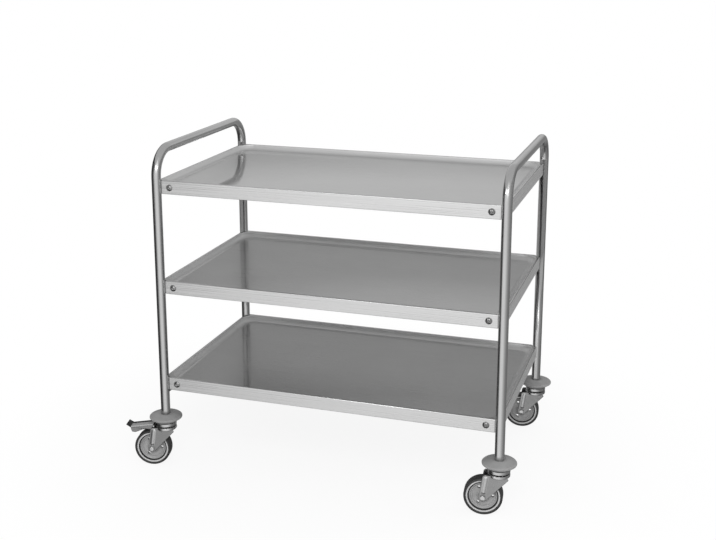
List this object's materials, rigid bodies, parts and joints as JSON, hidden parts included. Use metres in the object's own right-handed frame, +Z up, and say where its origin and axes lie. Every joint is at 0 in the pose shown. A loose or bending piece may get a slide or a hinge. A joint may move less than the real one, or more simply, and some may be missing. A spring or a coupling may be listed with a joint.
{
  "type": "serving trolley",
  "caption": "Tube-frame serving trolley with stacked sunk-pan sheet trays, hoop push handles and swivel casters with brakes under round rubber bumpers.",
  "frame": {"origin": "on the floor, midway between the four posts", "axes": "+Z up, X along the long side from the braked casters to the plain ones, front long side towards -Y"},
  "size_m": [1.0845, 0.649, 0.895],
  "materials": {
    "tube": "polished",
    "sheet": "satin",
    "fixings": "bright",
    "zinc": "zinc plated",
    "bumper_rubber": "matte",
    "plug_plastic": "matte",
    "wheel_plastic": "matte",
    "tyre_rubber": "matte"
  },
  "bodies": {
    "frame": {"left_hoop": "tube", "right_hoop": "tube", "top_tray": "sheet", "middle_tray": "sheet", "bottom_tray": "sheet", "left_tabs": "fixings", "right_tabs": "fixings", "shelf_screws": "fixings", "shelf_nuts": "fixings", "left_front_bumper": "bumper_rubber", "left_front_tube_plug": "plug_plastic", "left_front_stem": "zinc", "left_front_top_plate": "zinc", "left_rear_bumper": "bumper_rubber", "left_rear_tube_plug": "plug_plastic", "left_rear_stem": "zinc", "left_rear_top_plate": "zinc", "right_front_bumper": "bumper_rubber", "right_front_tube_plug": "plug_plastic", "right_front_stem": "zinc", "right_front_top_plate": "zinc", "right_rear_bumper": "bumper_rubber", "right_rear_tube_plug": "plug_plastic", "right_rear_stem": "zinc", "right_rear_top_plate": "zinc"},
    "left_front_swivel": {"left_front_fork": "zinc", "left_front_swivel_balls": "fixings", "left_front_axle_sleeve": "zinc", "left_front_axle_bolt": "zinc", "left_front_brake_pin": "zinc"},
    "left_front_wheel": {"left_front_wheel_rim": "wheel_plastic", "left_front_tyre": "tyre_rubber"},
    "left_front_pedal": {"left_front_brake_pedal": "zinc"},
    "left_rear_swivel": {"left_rear_fork": "zinc", "left_rear_swivel_balls": "fixings", "left_rear_axle_sleeve": "zinc", "left_rear_axle_bolt": "zinc", "left_rear_brake_pin": "zinc"},
    "left_rear_wheel": {"left_rear_wheel_rim": "wheel_plastic", "left_rear_tyre": "tyre_rubber"},
    "left_rear_pedal": {"left_rear_brake_pedal": "zinc"},
    "right_front_swivel": {"right_front_fork": "zinc", "right_front_swivel_balls": "fixings", "right_front_axle_sleeve": "zinc", "right_front_axle_bolt": "zinc"},
    "right_front_wheel": {"right_front_wheel_rim": "wheel_plastic", "right_front_tyre": "tyre_rubber"},
    "right_rear_swivel": {"right_rear_fork": "zinc", "right_rear_swivel_balls": "fixings", "right_rear_axle_sleeve": "zinc", "right_rear_axle_bolt": "zinc"},
    "right_rear_wheel": {"right_rear_wheel_rim": "wheel_plastic", "right_rear_tyre": "tyre_rubber"}
  },
  "joints": [
    {"name": "left_front_swivel_turn", "type": "hinge", "parent": "frame", "child": "left_front_swivel", "pos_m": [-0.465, -0.28, 0.1125], "axis": [0, 0, 1], "continuous": true},
    {"name": "left_front_wheel_spin", "type": "hinge", "parent": "left_front_swivel", "child": "left_front_wheel", "pos_m": [-0.50217, -0.2879, 0.05], "axis": [-0.2079, 0.9781, 0], "continuous": true},
    {"name": "left_front_brake_press", "type": "hinge", "parent": "left_front_swivel", "child": "left_front_pedal", "pos_m": [-0.47869, -0.28291, 0.1], "axis": [0.2079, -0.9781, 0], "range_deg": [0, 8.5]},
    {"name": "left_rear_swivel_turn", "type": "hinge", "parent": "frame", "child": "left_rear_swivel", "pos_m": [-0.465, 0.28, 0.1125], "axis": [0, 0, 1], "continuous": true},
    {"name": "left_rear_wheel_spin", "type": "hinge", "parent": "left_rear_swivel", "child": "left_rear_wheel", "pos_m": [-0.50272, 0.27537, 0.05], "axis": [-0.1219, 0.9925, 0], "continuous": true},
    {"name": "left_rear_brake_press", "type": "hinge", "parent": "left_rear_swivel", "child": "left_rear_pedal", "pos_m": [-0.4789, 0.27829, 0.1], "axis": [0.1219, -0.9925, 0], "range_deg": [0, 8.5]},
    {"name": "right_front_swivel_turn", "type": "hinge", "parent": "frame", "child": "right_front_swivel", "pos_m": [0.465, -0.28, 0.1125], "axis": [0, 0, 1], "continuous": true},
    {"name": "right_front_wheel_spin", "type": "hinge", "parent": "right_front_swivel", "child": "right_front_wheel", "pos_m": [0.42728, -0.28463, 0.05], "axis": [-0.1219, 0.9925, 0], "continuous": true},
    {"name": "right_rear_swivel_turn", "type": "hinge", "parent": "frame", "child": "right_rear_swivel", "pos_m": [0.465, 0.28, 0.1125], "axis": [0, 0, 1], "continuous": true},
    {"name": "right_rear_wheel_spin", "type": "hinge", "parent": "right_rear_swivel", "child": "right_rear_wheel", "pos_m": [0.42728, 0.27537, 0.05], "axis": [-0.1219, 0.9925, 0], "continuous": true}
  ]
}
